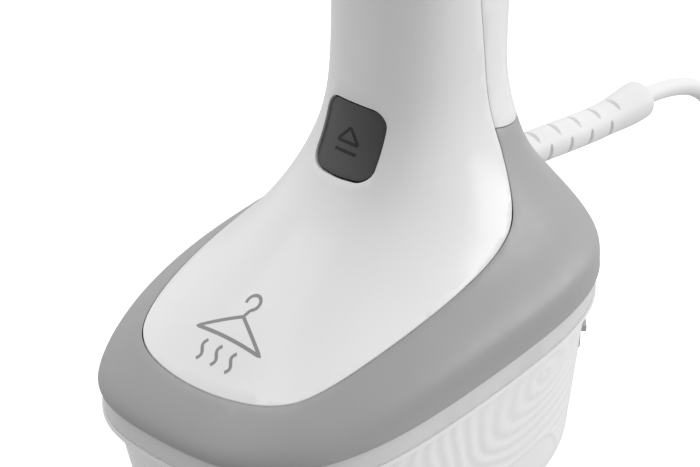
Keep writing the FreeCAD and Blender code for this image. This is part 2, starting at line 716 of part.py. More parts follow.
def with_screw_holes(shape):
    for x, z in head_screw_places():
        shape = shape.cut(cylinder((x, COVER_Y - 1, HEAD_Z + z), 1.2, 12.0, Y_AXIS))
    return shape


def make_chamber_cover():
    cover = with_screw_holes(face_slab(COVER_Y, SEAL_Y - COVER_Y, CHAMBER_A, CHAMBER_B))
    for x in (-18.0, -9.0, 0.0, 9.0, 18.0):
        cover = cover.cut(cylinder((x, COVER_Y - 1, HEAD_Z), 2.0, 5.0, Y_AXIS))
    return cover


def make_chamber_seal():
    ring = face_slab(SEAL_Y, BLOCK_Y - SEAL_Y, BLOCK_A, BLOCK_B)
    return with_screw_holes(ring.cut(face_slab(SEAL_Y - 1, 5, CAVITY_A, CAVITY_B)))


def element_path():
    x_end = 14.0
    y = BLOCK_REAR - 1.0
    high = HEAD_Z + ELEMENT_HALF
    low = HEAD_Z - ELEMENT_HALF
    start = -29.0
    return [
        Part.LineSegment(Vector(start, y, high), Vector(x_end, y, high)).toShape(),
        Part.Arc(
            Vector(x_end, y, high), Vector(x_end + ELEMENT_HALF, y, HEAD_Z), Vector(x_end, y, low)
        ).toShape(),
        Part.LineSegment(Vector(x_end, y, low), Vector(start, y, low)).toShape(),
    ]


def make_heater_block():
    block = face_slab(BLOCK_Y, BLOCK_REAR - BLOCK_Y, BLOCK_A, BLOCK_B)
    block = block.cut(face_slab(BLOCK_Y - 1, 11.0, CAVITY_A, CAVITY_B))
    block = with_screw_holes(block)
    inlet = cylinder((0, BLOCK_REAR - 0.5, INLET_Z), 3.0, 6.0, Y_AXIS)
    block = block.cut(pipe(element_path(), ELEMENT_R)).fuse(inlet)
    return block.cut(cylinder((0, BLOCK_Y, INLET_Z), 1.2, 30.0, Y_AXIS))


def make_head_screws():
    screws = []
    for x, z in head_screw_places():
        screws.append(screw((x, COVER_Y - 1.6, HEAD_Z + z), Y_AXIS, 2.2, 1.6, 1.2, 9.0))
    return Part.makeCompound(screws)


def make_heat_shield():
    sheet = face_slab(20.2, 0.8, 29.0, 17.0)
    return sheet.cut(box((-5.5, 15, 230), (5.5, 25, INLET_Z + 5.5)))


# ---------------------------------------------------------------- handle insides
def make_handle_frame():
    """Carrier for the trigger's pin, the switch and the circuit board."""
    rails = []
    for side in (-1, 1):
        rails.append(box((side * 13 - 1.2, 9.0, 146), (side * 13 + 1.2, 33.0, 219)))
    lower = box((-14.2, 14.0, 146), (14.2, 18.0, 152))
    shelf = box((-14.2, 20.0, 176), (14.2, 21.4, 206))
    spring_bar = box((-14.2, 12.0, 180), (14.2, 14.0, 185.8))
    frame = rails[0].fuse([rails[1], lower, shelf, spring_bar])
    for z in SCREW_Z:
        frame = frame.fuse(box((-14.2, 36.8, z - 3.0), (14.2, 40.0, z + 3.0)))
        for side in (-1, 1):
            frame = frame.fuse(box((side * 13 - 1.2, 32.0, z - 3.0), (side * 13 + 1.2, 40.0, z + 3.0)))
        frame = frame.cut(cylinder((0, 36, z), 1.25, 10.0, Y_AXIS))
    frame = frame.common(body_loft(WALL + 0.2))
    return frame.cut(cylinder((-20, PIVOT_Y, PIVOT_Z), PIN_R, 40.0, X_AXIS))


def make_trigger():
    """A proud, rounded bar with a hub at its top and a lobe that meets the switch."""
    skin = body_loft(-TRIGGER_PROUD)
    hollow = body_loft(1.0)
    blade = trigger_prism(0.0, -20.0, 16.0).common(skin).cut(hollow)
    hub = cylinder((-10.5, PIVOT_Y, PIVOT_Z), 3.4, 21.0, X_AXIS)
    web = box((-7.5, 3.4, PIVOT_Z - 3.0), (7.5, PIVOT_Y, PIVOT_Z + 3.0))
    lobe = box((-3.0, 4.0, LOBE_Z - 2.5), (3.0, SWITCH_Y - SWITCH_REACH - 0.3, LOBE_Z + 2.5))
    trigger = blade.fuse([hub, web, lobe])
    return trigger.cut(cylinder((-20, PIVOT_Y, PIVOT_Z), PIN_R + RUNNING, 40.0, X_AXIS))


def make_circuit_board():
    board = box((-11.4, BOARD_Y, 155), (11.4, BOARD_Y + 1.6, 209))
    relay = box((-9.5, BOARD_Y - 2.4, 158), (-4.8, BOARD_Y, 172))
    driver = box((5.2, BOARD_Y - 2.4, 160), (9.8, BOARD_Y, 174))
    capacitor = cylinder((6.0, BOARD_Y + 1.6, 166), 4.0, 6.0, Y_AXIS)
    chip = box((-8.0, BOARD_Y + 1.6, 160), (0.0, BOARD_Y + 3.2, 168))
    return board.fuse([relay, driver, capacitor, chip])


def make_switch_body():
    """The pump switch, with a well for its plunger."""
    body = box((-3.2, SWITCH_Y, LOBE_Z - 4.0), (3.2, 20.0, LOBE_Z + 15.0))
    well = box((-1.8, SWITCH_Y - 1, LOBE_Z - 1.8), (1.8, SWITCH_Y + 4.0, LOBE_Z + 1.8))
    return body.cut(well)


def make_switch_plunger():
    low = (-1.5, SWITCH_Y - SWITCH_REACH, LOBE_Z - 1.5)
    return box(low, (1.5, SWITCH_Y + 1.2, LOBE_Z + 1.5))


def make_power_button():
    """A round cap that follows the handle's rear, with a collar that keeps it in and a stem."""
    cap = cylinder((0, 46.0, POWER_Z), POWER_R, 20.0, Y_AXIS).common(body_loft(-0.5))
    collar = cylinder((0, 45.5, POWER_Z), POWER_R + 1.2, 1.8, Y_AXIS)
    stem = cylinder((0, 40.0, POWER_Z), 2.0, 6.0, Y_AXIS)
    return cap.fuse([collar, stem])


def make_case_screws():
    places = [(0, SCREW_SEAT_Y + 1.8, z) for z in SCREW_Z]
    return Part.makeCompound([screw(place, -Y_AXIS, 2.6, 1.8, 1.25, 8.5) for place in places])


def make_wiring_loom():
    """A bundle of leads from the terminal block up to the head."""
    bend = LOOM_BEND_R * (1 - math.sqrt(0.5))
    reach = LOOM_BEND_R * math.sqrt(0.5)
    low = Vector(LOOM_X, LOOM_Y, 92)
    high = Vector(LOOM_X, LOOM_Y, LOOM_TOP - LOOM_BEND_R)
    halfway = Vector(LOOM_X, LOOM_Y - bend, high.z + reach)
    over = Vector(LOOM_X, LOOM_Y - LOOM_BEND_R, LOOM_TOP)
    front = Vector(LOOM_X, 22.5, LOOM_TOP)
    rise = Part.LineSegment(low, high).toShape()
    turn = Part.Arc(high, halfway, over).toShape()
    run = Part.LineSegment(over, front).toShape()
    return pipe([rise, turn, run], LOOM_R)


# ---------------------------------------------------------------- mains lead
def make_cord_clamp():
    """The upper half of the clamp that holds the lead's end."""
    clamp = box((-12.0, 48.0, CORD_EXIT_Z + 0.4), (12.0, 54.0, CORD_EXIT_Z + 6.0))
    clamp = clamp.cut(cylinder((0, 40, CORD_EXIT_Z), CORD_R, 30.0, Y_AXIS))
    for x in CLAMP_SCREW_X:
        clamp = clamp.cut(cylinder((x, 51.0, CORD_EXIT_Z), 1.2, 20.0))
    return clamp


def make_clamp_screws():
    places = [(x, 51.0, CORD_EXIT_Z + 7.6) for x in CLAMP_SCREW_X]
    return Part.makeCompound([screw(place, -Z_AXIS, 2.2, 1.6, 1.2, 11.0) for place in places])


def make_strain_relief():
    """A flexible sleeve with a flange inside the shell, four rows of slots and a plain collar."""
    knee = Vector(0, RELIEF_KNEE_Y, CORD_EXIT_Z)
    tip = Vector(*CORD_ROUTE[0])
    length = knee.distanceToPoint(tip)
    bevel_low = length - RELIEF_BEVEL
    collar_low = bevel_low - RELIEF_COLLAR
    sleeve = Part.makeCone(RELIEF_R - 0.3, RELIEF_R - 0.6, collar_low + 1.1, Vector(0, 0, -1.0))
    collar = Part.makeCylinder(RELIEF_R + 0.4, RELIEF_COLLAR, Vector(0, 0, collar_low))
    bevel = Part.makeCone(RELIEF_R + 0.4, RELIEF_R - 1.0, RELIEF_BEVEL, Vector(0, 0, bevel_low))
    outside = sleeve.fuse([collar, bevel])
    for row in range(4):
        for k in range(RELIEF_SLOTS):
            z = RELIEF_FIRST_SLOT + RELIEF_PITCH * (k + 0.5 * (row % 2))
            slot = box((RELIEF_R - 2.6, -3.4, z), (RELIEF_R + 2.0, 3.4, z + RELIEF_SLOT))
            slot.rotate(Vector(0, 0, 0), Z_AXIS, 90.0 * row)
            outside = outside.cut(slot)
    turn = FreeCAD.Rotation(Z_AXIS, tip - knee)
    outside.Placement = FreeCAD.Placement(knee, turn)
    root = cylinder((0, RELIEF_START_Y, CORD_EXIT_Z), RELIEF_R, RELIEF_KNEE_Y - RELIEF_START_Y, Y_AXIS)
    flange = cylinder((0, RELIEF_START_Y, CORD_EXIT_Z), RELIEF_R + 2.0, 3.0, Y_AXIS)
    relief = root.fuse(flange).fuse(outside)
    return relief.cut(cylinder((0, 50.0, CORD_EXIT_Z), CORD_R, RELIEF_KNEE_Y - 50.0, Y_AXIS))


def cord_edges(points):
    """Straight runs joined by the largest tangent arcs that the runs allow."""
    points = [Vector(*p) for p in points]
    edges = []
    at = points[0]
    for before, here, after in zip(points, points[1:], points[2:]):
        back = (before - here).normalize()
        ahead = (after - here).normalize()
        half = back.getAngle(ahead) / 2
        cut = 0.45 * min(before.distanceToPoint(here), here.distanceToPoint(after))
        radius = cut * math.tan(half)
        start = here + back * cut
        end = here + ahead * cut
        bisector = (back + ahead).normalize()
        middle = here + bisector * (radius / math.sin(half) - radius)
        edges.append(Part.LineSegment(at, start).toShape())
        edges.append(Part.Arc(start, middle, end).toShape())
        print("cord arc radius", round(radius, 1), "mm")
        at = end
    edges.append(Part.LineSegment(at, points[-1]).toShape())
    return edges


def make_cord():
    edges = cord_edges(CORD_ROUTE)
    lead = pipe(edges, CORD_R)
    length = sum(edge.Length for edge in edges)
    ideal = math.pi * CORD_R ** 2 * length
    print("cord run", round(length, 1), "mm, volume over section times length", round(lead.Volume / ideal, 4))
    return lead


def make_cord_end():
    start = Vector(*CORD_END[0])
    end = Vector(*CORD_END[1])
    return Part.makeCylinder(CORD_R, start.distanceToPoint(end), start, end - start)


def make_coil():
    half = CORD_R * COIL_ACROSS
    centre = (COIL_CENTRE[0], COIL_CENTRE[1], COIL_LOW)
    return tube(centre, COIL_MIDDLE_R + half, COIL_MIDDLE_R - half, 2 * CORD_R * COIL_LAYERS)


def make_plug():
    """A contour mains plug lying on its side, with its two pins pointing along -Y."""
    x, y = PLUG_AT
    z = PLUG_BODY_R
    face = cylinder((x, y, z), PLUG_BODY_R, PLUG_RIM, Y_AXIS)
    grip = Part.makeCone(PLUG_BODY_R - 1.0, GRIP_TIP_R, GRIP_LENGTH, Vector(x, y + PLUG_RIM, z), Y_AXIS)
    return face.fuse(grip)


def make_plug_pins():
    x, y = PLUG_AT
    pins = []
    for side in (-1, 1):
        start = (x + side * PIN_SPACING / 2, y - MAINS_PIN_L, PLUG_BODY_R)
        pins.append(cylinder(start, MAINS_PIN_R, MAINS_PIN_L, Y_AXIS))
    return Part.makeCompound(pins)


# ---------------------------------------------------------------- every piece, one file each
GREY, REAR = make_rear_pieces()
save("front_cover", make_front_cover())
save("base_shell", GREY)
save("rear_handle_cover", REAR)
save("release_button", make_release_button())
save("button_guide", make_button_guide())
save("button_spring", make_button_spring())

TANK, NECK = make_tank()
save("tank_shell", TANK)
save("fill_neck", NECK)
save("tank_lid", make_tank_lid())
save("fill_plug", make_fill_plug())
save("socket_seal", tube((0, PUMP_Y, 57.5), 7.2, SPIGOT_R + HAND_FIT, 4.0))
save("pickup_tube", tube((0, PUMP_Y, 6.0), 2.6, 1.6, 50.5))
save("pickup_filter", tube((0, PUMP_Y, 4.0), 6.0, 2.6, 10.0))

save("base_frame", make_base_frame())
save("inlet_spigot", make_inlet_spigot())
save("latch_bar", make_latch())
save("latch_spring", spring((0, LATCH_Y + 2.5, 85.0), 2.6, 0.45, 5.0, 4, Y_AXIS))

save("pump_body", make_pump())
save("pump_coil", tube((0, PUMP_Y, PUMP_LOW + 10.4), 13.0, 9.0, 21.2))
save("pump_bracket", make_pump_bracket())
save("pump_plunger", make_pump_plunger())
save("pump_spring", spring((0, PUMP_Y, 88.0), 2.6, 0.4, 10.4, 5))
save("suction_hose", make_suction_hose())
save("pressure_hose", make_pressure_hose())

save("head_housing", make_head_housing())
save("head_bezel", make_bezel())
save("steam_plate", make_steam_plate())
save("plate_gasket", make_plate_gasket())
save("chamber_cover", make_chamber_cover())
save("chamber_seal", make_chamber_seal())
save("heater_block", make_heater_block())
save("heating_element", pipe(element_path(), ELEMENT_R))
save("thermostat", cylinder((-14.0, BLOCK_REAR, HEAD_Z), 6.5, 6.0, Y_AXIS))
save("thermal_fuse", cylinder((8.0, BLOCK_REAR + 2.0, HEAD_Z), 2.0, 12.0, X_AXIS))
save("head_screws", make_head_screws())
save("heat_shield", make_heat_shield())

save("handle_frame", make_handle_frame())
save("trigger", make_trigger())
save("trigger_pin", cylinder((-14.2, PIVOT_Y, PIVOT_Z), PIN_R, 28.4, X_AXIS))
save("trigger_spring", spring((0, 4.1, 184.8), 2.0, 0.4, 7.8, 5, Y_AXIS))
save("switch_body", make_switch_body())
save("switch_plunger", make_switch_plunger())
save("circuit_board", make_circuit_board())
save("power_button", make_power_button())
save("power_switch", box((-3.0, BOARD_Y + 1.6, POWER_Z - 3.0), (3.0, BOARD_Y + 5.0, POWER_Z + 3.0)))
save("power_lens", cylinder((0, 47.0, LENS_Z), LENS_R, 20.0, Y_AXIS).common(OUTER))
save("indicator_led", cylinder((0, BOARD_Y + 1.6, LENS_Z), 1.5, 5.0, Y_AXIS))
save("case_screws", make_case_screws())

save("cord_clamp", make_cord_clamp())
save("clamp_screws", make_clamp_screws())
save("lead_tail", cylinder((0, 46.0, CORD_EXIT_Z), CORD_R, RELIEF_KNEE_Y - 46.0, Y_AXIS))
save("terminal_block", box((-9.0, 37.0, 84.0), (9.0, 46.0, 92.0)))
save("wiring_loom", make_wiring_loom())
save("strain_relief", make_strain_relief())
save("cord_tube", make_cord())
save("cord_coil", make_coil())
save("cord_end", make_cord_end())
save("plug_body", make_plug())
save("plug_pins", make_plug_pins())
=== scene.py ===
"""Looks of the handheld garment steamer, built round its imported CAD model. Metres, +Z up."""
import json
import math

import bmesh
import bpy
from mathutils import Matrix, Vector
from mathutils.bvhtree import BVHTree


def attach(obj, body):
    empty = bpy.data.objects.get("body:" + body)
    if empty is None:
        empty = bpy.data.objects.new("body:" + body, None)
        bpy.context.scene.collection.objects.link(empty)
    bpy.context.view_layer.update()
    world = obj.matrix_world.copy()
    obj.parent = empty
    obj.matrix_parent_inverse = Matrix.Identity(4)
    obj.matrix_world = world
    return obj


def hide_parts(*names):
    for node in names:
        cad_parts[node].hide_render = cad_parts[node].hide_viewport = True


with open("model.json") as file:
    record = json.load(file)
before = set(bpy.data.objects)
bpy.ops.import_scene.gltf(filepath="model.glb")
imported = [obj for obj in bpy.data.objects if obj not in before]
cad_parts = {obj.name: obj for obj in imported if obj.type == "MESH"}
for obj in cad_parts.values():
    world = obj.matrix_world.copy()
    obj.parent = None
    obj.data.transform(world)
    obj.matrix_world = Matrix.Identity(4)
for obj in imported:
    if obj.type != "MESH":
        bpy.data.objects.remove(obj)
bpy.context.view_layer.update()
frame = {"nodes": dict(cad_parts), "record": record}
nodes = frame["nodes"]
scene = bpy.context.scene
MM = 0.001

# ---------------------------------------------------------------- camera
LOOK_AT = Vector((0.0, -0.00202, 0.09698))
DISTANCE = 0.75007
AZIMUTH = math.radians(40.187)
ELEVATION = math.radians(32.441)
LENS = 142.31
SENSOR = 36.0

towards_camera = Vector((
    math.sin(AZIMUTH) * math.cos(ELEVATION),
    -math.cos(AZIMUTH) * math.cos(ELEVATION),
    math.sin(ELEVATION),
))
camera = bpy.data.objects.new("camera", bpy.data.cameras.new("camera"))
camera.data.lens = LENS
camera.data.sensor_width = SENSOR
camera.location = LOOK_AT + DISTANCE * towards_camera
camera.rotation_euler = (-towards_camera).to_track_quat("-Z", "Y").to_euler()
scene.collection.objects.link(camera)
scene.camera = camera
scene.view_settings.view_transform = "Standard"


# ---------------------------------------------------------------- materials
def new_material(name):
    """A material with one shader, and the nodes and links to add to it."""
    material = bpy.data.materials.new(name)
    material.use_nodes = True
    tree = material.node_tree
    return material, tree, tree.nodes["Principled BSDF"]


EVEN = (1.0, 1.0, 1.0)


def noise(tree, scale, detail=2.0, stretch=EVEN):
    """Noise fixed to the object, scale features per metre, drawn out along an axis by stretch."""
    place = tree.nodes.new("ShaderNodeTexCoord")
    mapping = tree.nodes.new("ShaderNodeMapping")
    mapping.inputs["Scale"].default_value = stretch
    texture = tree.nodes.new("ShaderNodeTexNoise")
    texture.inputs["Scale"].default_value = scale
    texture.inputs["Detail"].default_value = detail
    tree.links.new(place.outputs["Object"], mapping.inputs["Vector"])
    tree.links.new(mapping.outputs["Vector"], texture.inputs["Vector"])
    return texture.outputs["Fac"]


def between(tree, fac, low, high):
    """A number that follows fac between low and high."""
    spread = tree.nodes.new("ShaderNodeMapRange")
    spread.inputs["From Min"].default_value = 0.3
    spread.inputs["From Max"].default_value = 0.7
    spread.inputs["To Min"].default_value = low
    spread.inputs["To Max"].default_value = high
    tree.links.new(fac, spread.inputs["Value"])
    return spread.outputs["Result"]


def mixed(tree, fac, first, second):
    """A colour that follows fac between two colours."""
    mix = tree.nodes.new("ShaderNodeMix")
    mix.data_type = "RGBA"
    mix.inputs["A"].default_value = (*first, 1.0)
    mix.inputs["B"].default_value = (*second, 1.0)
    tree.links.new(fac, mix.inputs["Factor"])
    return mix.outputs["Result"]


MOTTLE_SCALE = 45.0
PATCH_SCALE = 160.0
SMOOTHEST = 0.02


def surface(name, colour, rough, grain, depth, mottle=0.04, uneven=0.05, stretch=EVEN, **sockets):
    """Faint mottling, uneven gloss and a fine grain of real depth; sockets set the shader's rest."""
    material, tree, shader = new_material(name)
    darker = tuple(c * (1.0 - mottle) for c in colour)
    lighter = tuple(min(1.0, c * (1.0 + mottle)) for c in colour)
    broad = noise(tree, MOTTLE_SCALE, 3.0)
    tree.links.new(
        mixed(tree, between(tree, broad, 0.0, 1.0), darker, lighter), shader.inputs["Base Color"]
    )
    patches = noise(tree, PATCH_SCALE, 4.0, stretch)
    tree.links.new(
        between(tree, patches, max(SMOOTHEST, rough - uneven), rough + uneven),
        shader.inputs["Roughness"],
    )
    bump = tree.nodes.new("ShaderNodeBump")
    bump.inputs["Strength"].default_value = 1.0
    bump.inputs["Distance"].default_value = depth
    tree.links.new(noise(tree, grain, 2.0, stretch), bump.inputs["Height"])
    tree.links.new(bump.outputs["Normal"], shader.inputs["Normal"])
    for socket, value in sockets.items():
        shader.inputs[socket.replace("_", " ")].default_value = value
    return material


def grey(level, warm=0.0):
    """A neutral colour, slightly warm or cool."""
    return (level * (1.0 + warm), level, level * (1.0 - warm))


LOOKS = {
    "gloss_white": surface("gloss white plastic", grey(0.80), 0.20, 260.0, 0.000008, 0.012, 0.03),
    "satin_grey": surface("satin grey plastic", grey(0.335), 0.40, 5200.0, 0.000006, 0.02),
    "button_grey": surface("dark button plastic", grey(0.062, 0.01), 0.45, 4200.0, 0.000006, 0.05),
    "tank_plastic": surface("milky tank plastic", grey(0.84), 0.30, 900.0, 0.000003, 0.010, 0.04),
    "rim_white": surface("white lid plastic", grey(0.66), 0.33, 2400.0, 0.000005, 0.015),
    "soft_grey": surface("soft grey rubber", grey(0.50), 0.62, 3200.0, 0.00001, 0.06),
    "silicone": surface("silicone", grey(0.62), 0.48, 1500.0, 0.000008, 0.04,
                        Subsurface_Weight=0.2, Subsurface_Scale=0.001),
    "inner_plastic": surface("inner plastic", grey(0.55), 0.45, 2600.0, 0.00001, 0.05),
    "spring_steel": surface("spring steel", grey(0.52), 0.28, 2500.0, 0.000005, 0.06,
                            Metallic=1.0),
    "copper_coil": surface("copper winding", (0.72, 0.33, 0.17), 0.35, 5000.0, 0.00002, 0.10,
                           stretch=(1.0, 1.0, 8.0), Metallic=1.0),
    "zinc_steel": surface("zinc plated steel", grey(0.60, 0.02), 0.33, 3000.0, 0.000008, 0.08,
                          Metallic=1.0),
    "steam_plate_steel": surface("brushed steam plate", grey(0.66), 0.24, 2400.0, 0.000004, 0.04,
                                 stretch=(0.06, 1.0, 1.0), Metallic=1.0, Anisotropic=0.4),
    "cast_aluminium": surface("cast aluminium", grey(0.56), 0.50, 900.0, 0.00004, 0.09,
                              Metallic=1.0),
    "element_steel": surface("element sheath", grey(0.30, 0.04), 0.45, 2200.0, 0.00001, 0.15,
                             Metallic=1.0),
    "mica": surface("mica sheet", (0.52, 0.44, 0.32), 0.40, 700.0, 0.00003, 0.18),
    "board_green": surface("circuit board", (0.03, 0.16, 0.07), 0.34, 1400.0, 0.00002, 0.20),
    "lens": surface("smoked lens", (0.30, 0.33, 0.36), 0.12, 800.0, 0.000003, 0.04,
                    Transmission_Weight=0.5),
    "cord_white": surface("cord white", grey(0.74), 0.50, 2600.0, 0.000006, 0.02),
    "nickel_pin": surface("nickel plated brass", (0.70, 0.67, 0.60), 0.22, 2600.0, 0.000004, 0.05,
                          Metallic=1.0),
}

GREY_INK = surface("grey ink", grey(0.25), 0.42, 3000.0, 0.000004, 0.06)
# painted shade: near-black lines that stand for the shade inside the release button's engraved symbol
ENGRAVING_SHADE_PAINT = surface("painted engraving shade", grey(0.008), 0.60, 3000.0, 0.000004, 0.06)


def paint(piece, look):
    """One finish all over a piece: the look that the record's slot names."""
    piece.data.materials.clear()
    piece.data.materials.append(LOOKS[look])


for part in frame["record"]["subparts"]:
    paint(nodes[part["node"]], part["material_slot"])

# ---------------------------------------------------------------- rounded edges of the mouldings
EDGE_R = 0.28 * MM
EDGE_ANGLE = math.radians(50.0)
WELD_NEAR = 0.002 * MM
for name in ("front_cover", "base_shell", "rear_handle_cover", "release_button", "tank_lid"):
    weld = nodes[name].modifiers.new("weld", "WELD")
    weld.merge_threshold = WELD_NEAR
    edge = nodes[name].modifiers.new("edge", "BEVEL")
    edge.width = EDGE_R
    edge.segments = 2
    edge.limit_method = "ANGLE"
    edge.angle_limit = EDGE_ANGLE
    edge.harden_normals = True

# ---------------------------------------------------------------- mains cord
CORD_R = 2.75 * MM
ROUTE = [(0, 135.4, 79.3), (0, 156, 76.3), (0, 176, 63.5), (1.5, 189, 39.5), (3, 203, 18),
         (2, 223, 4.3), (0, 246, 3.65)]
COIL_AT = (41.25, 250.0)
COIL_OUTER = 41.25             # middle lines of the outer and the inner turn
COIL_INNER = 24.75
LAYER_TURNS = 3.0
LAYER_LOW = 3.65
LAYER_HIGH = 9.15
TURN_POINTS = 16
LEAVES_AT = 9 / TURN_POINTS    # the last part of a turn before the lead leaves the coil
TO_PLUG = [(76.2, 226.6, 10.6), (72.4, 219.0, 15.4), (71.5, 213.5, 17.5)]


def coil_points():
    """Two layers of three turns: inward below, up one layer at the middle, and outward on top."""
    corner = 1.0 / math.cos(math.pi / TURN_POINTS)
    stages = [
        (LAYER_TURNS, COIL_OUTER, COIL_INNER, LAYER_LOW, LAYER_LOW),
        (1.0, COIL_INNER, COIL_INNER, LAYER_LOW, LAYER_HIGH),
        (LAYER_TURNS, COIL_INNER, COIL_OUTER, LAYER_HIGH, LAYER_HIGH),
        (LEAVES_AT, COIL_OUTER, COIL_OUTER, LAYER_HIGH, LAYER_HIGH),
    ]
    points = []
    angle = math.pi
    for turns, r_first, r_last, z_first, z_last in stages:
        steps = round(turns * TURN_POINTS)
        for step in range(steps):
            share = (step + 0.5) / steps
            turned = angle - 2 * math.pi * (step + 0.5) / TURN_POINTS
            radius = (r_first + (r_last - r_first) * share) * corner
            points.append((
                COIL_AT[0] + radius * math.cos(turned),
                COIL_AT[1] + radius * math.sin(turned),
                z_first + (z_last - z_first) * share,
            ))
        angle -= 2 * math.pi * turns
    return points


def tube_along(name, points, radius):
    """A round tube whose smooth line has these control points, in millimetres."""
    curve = bpy.data.curves.new(name, "CURVE")
    curve.dimensions = "3D"
    curve.bevel_depth = radius
    curve.bevel_resolution = 6
    curve.resolution_u = 6
    curve.use_fill_caps = True
    spline = curve.splines.new("NURBS")
    spline.points.add(len(points) - 1)
    for point, place in zip(spline.points, points):
        point.co = (*(c * MM for c in place), 1.0)
    spline.order_u = 3
    spline.use_endpoint_u = True
    tube = bpy.data.objects.new(name, curve)
    scene.collection.objects.link(tube)
    return tube


def mesh_piece(name, points, faces, look, body):
    """A smooth mesh from points in millimetres."""
    data = bpy.data.meshes.new(name)
    data.from_pydata([tuple(c * MM for c in point) for point in points], [], faces)
    data.update()
    data.polygons.foreach_set("use_smooth", [True] * len(data.polygons))
    piece = bpy.data.objects.new(name, data)
    scene.collection.objects.link(piece)
    paint(piece, look)
    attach(piece, body)
    return piece


def ring_faces(rings, around):
    """Quads between rings of points, and a flat cap at each end."""
    faces = []
    for ring in range(rings - 1):
        for k in range(around):
            ahead = (k + 1) % around
            low = ring * around
            faces.append((low + k, low + ahead, low + around + ahead, low + around + k))
    faces.append(tuple(reversed(range(around))))
    faces.append(tuple(range((rings - 1) * around, rings * around)))
    return faces


def smooth(value):
    """A smooth step from 0 to 1."""
    value = min(1.0, max(0.0, value))
    return value * value * (3.0 - 2.0 * value)


# ---------------------------------------------------------------- strain relief boot
BOOT_START = (66.0, 88.6)      # y, z where it leaves the flange inside the shell
BOOT_BENDS = [(90.0, 86.2), (110.0, 78.8)]
BOOT_TIP = (135.4, 79.3)
BOOT_R = 5.15
BOOT_TIP_R = 6.05
BOOT_FLARE = (0.72, 0.97)      # shares of the length between which it widens
BOOT_EDGE = 1.1                # radius of the rounding at its end
NOTCH_PITCH = 10.2
NOTCH_FIRST = (78.4, 83.2)     # y of the first notch above and below, and at the sides
NOTCH_COUNT = (5, 4)
NOTCH_WIDE = 0.75
NOTCH_DEEP = 1.3
NOTCH_ARC = math.radians(35.0)
NOTCH_TURN = math.radians(-12.0)
BOOT_RINGS = 420
BOOT_AROUND = 120


def boot_line(share):
    """Place and direction (y, z) along the boot's middle line."""
    a, b, c, d = BOOT_START, *BOOT_BENDS, BOOT_TIP
    rest = 1.0 - share
    place = [
        rest ** 3 * a[i] + 3 * rest ** 2 * share * b[i]
        + 3 * rest * share ** 2 * c[i] + share ** 3 * d[i]
        for i in (0, 1)
    ]
    slope = [
        rest ** 2 * (b[i] - a[i]) + 2 * rest * share * (c[i] - b[i]) + share ** 2 * (d[i] - c[i])
        for i in (0, 1)
    ]
    length = math.hypot(*slope)
    return place, (slope[0] / length, slope[1] / length)


def notch_depth(y, angle):
    """How deep the boot is notched there: four rows of lens-shaped notches, staggered by turns."""
    deep = 0.0
    for row in range(4):
        off = (angle - NOTCH_TURN - row * math.pi / 2 + math.pi) % (2 * math.pi) - math.pi
        lens = 1.0 - (off / NOTCH_ARC) ** 2
        if lens <= 0.0:
            continue
        kind = 0 if row % 2 else 1
        first, count = NOTCH_FIRST[kind], NOTCH_COUNT[kind]
        index = min(count - 1, max(0, round((y - first) / NOTCH_PITCH)))
        away = abs(y - first - index * NOTCH_PITCH)
        half = NOTCH_WIDE * math.sqrt(lens)
        deep = max(deep, NOTCH_DEEP * math.sqrt(lens) * smooth(1.6 - 1.3 * away / half))
    return deep


def make_boot():
    """Rings round the middle line, each point drawn in where a notch is."""
    points = []
    shares = [k / (BOOT_RINGS - 1) for k in range(BOOT_RINGS)]
    for share in shares:
        (y, z), (along_y, along_z) = boot_line(share)
        flare = smooth((share - BOOT_FLARE[0]) / (BOOT_FLARE[1] - BOOT_FLARE[0]))
        radius = BOOT_R + (BOOT_TIP_R - BOOT_R) * flare
        from_end = BOOT_TIP[0] - y
        if from_end < BOOT_EDGE:
            radius -= BOOT_EDGE - math.sqrt(max(0.0, BOOT_EDGE ** 2 - (BOOT_EDGE - from_end) ** 2))
        for k in range(BOOT_AROUND):
            angle = 2 * math.pi * k / BOOT_AROUND
            reach = radius - notch_depth(y, angle)
            side = reach * math.sin(angle)
            points.append((reach * math.cos(angle), y - along_z * side, z + along_y * side))
    faces = ring_faces(BOOT_RINGS, BOOT_AROUND)
    return mesh_piece("strain_relief_boot", points, faces, "cord_white", "housing")


boot = make_boot()
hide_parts("strain_relief")

cord = tube_along("mains_cord", ROUTE + coil_points() + TO_PLUG, CORD_R)
paint(cord, "cord_white")
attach(cord, "housing")
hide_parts("cord_tube", "cord_coil", "cord_end")

# ---------------------------------------------------------------- wave relief on the tank's flanks
WAVE_EYE = (31.0, 53.0)        # y, z that the waves run round
WAVE_SQUASH = 0.68
WAVE_PITCH = 4.2
WAVE_DEEP = 0.24
SKIN_LIFT = 0.05               # the relief's skin over the tank's wall, and its border under it
SKIN_SUNK = 0.03
SKIN_THICK = 0.6
SKIN_Y = (-57.0, 53.5)
SKIN_Z = (13.0, 60.6)
SKIN_STEP = 0.5
WAVE_FADE = (22.0, 8.0, 3.0, 1.5)   # towards the front, the rear, the foot and the lip
PANEL_TOP = 27.0
PANEL_REAR = 47.0
PANEL_R = 14.0
PANEL_LINE = 0.9
PANEL_RISE = 1.2               # height of its edge, as a share of the waves'
SOFT_STEP = 1.5                # over which the waves end at the panel, and the skin at its border


def from_panel(y, z):
    """How far a point lies outside the rounded panel low on the flank, negative inside it."""
    out_y = y - (PANEL_REAR - PANEL_R)
    out_z = z - (PANEL_TOP - PANEL_R)
    if out_y <= 0.0 or out_z <= 0.0:
        return max(out_y, out_z) - PANEL_R
    return math.hypot(out_y, out_z) - PANEL_R


